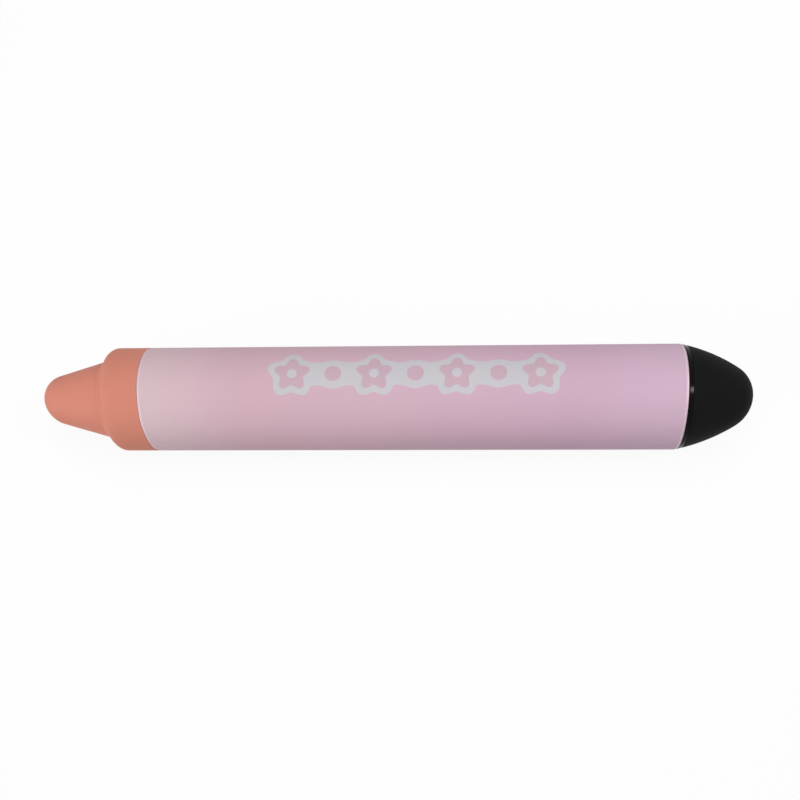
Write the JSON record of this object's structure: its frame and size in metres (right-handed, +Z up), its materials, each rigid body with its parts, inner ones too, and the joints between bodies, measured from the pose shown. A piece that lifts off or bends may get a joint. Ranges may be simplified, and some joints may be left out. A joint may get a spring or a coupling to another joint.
{
  "type": "stylus",
  "caption": "Chunky crayon-shaped touch-screen stylus: wrapped metal barrel, moulded crayon point at one end, screw-out rubber dome tip at the other.",
  "frame": {"origin": "on the barrel's axis, halfway between the crayon point and the end of the rubber dome", "axes": "+X along the barrel towards the rubber tip, +Z up, away from the wrap's seam"},
  "size_m": [0.1118, 0.016, 0.016],
  "materials": {
    "wrap": "satin printed film, pale pink",
    "tube": "satin drawn tube, faintly rose",
    "nose": "satin moulded plastic, coral",
    "socket": "turned",
    "seal": "smooth nitrile",
    "ring": "gloss black",
    "carrier": "turned",
    "dome": "matte conductive silicone"
  },
  "bodies": {
    "barrel": {"wrap_film": "wrap", "barrel_tube": "tube", "crayon_nose": "nose", "tip_socket": "socket"},
    "seal": {"tip_oring": "seal"},
    "tip": {"tip_ring": "ring", "tip_carrier": "carrier", "tip_dome": "dome"}
  },
  "joints": [
    {"name": "tip_travel", "type": "slide", "parent": "barrel", "child": "seal", "axis": [1, 0, 0], "range_m": [0, 0.005]},
    {"name": "tip_turn", "type": "hinge", "parent": "seal", "child": "tip", "pos_m": [0.0446, 0, 0], "axis": [1, 0, 0], "range_deg": [0, 1440]}
  ],
  "couplings": [
    {"joint": "tip_travel", "follows": "tip_turn", "m_per_rad": 0.00019894}
  ]
}
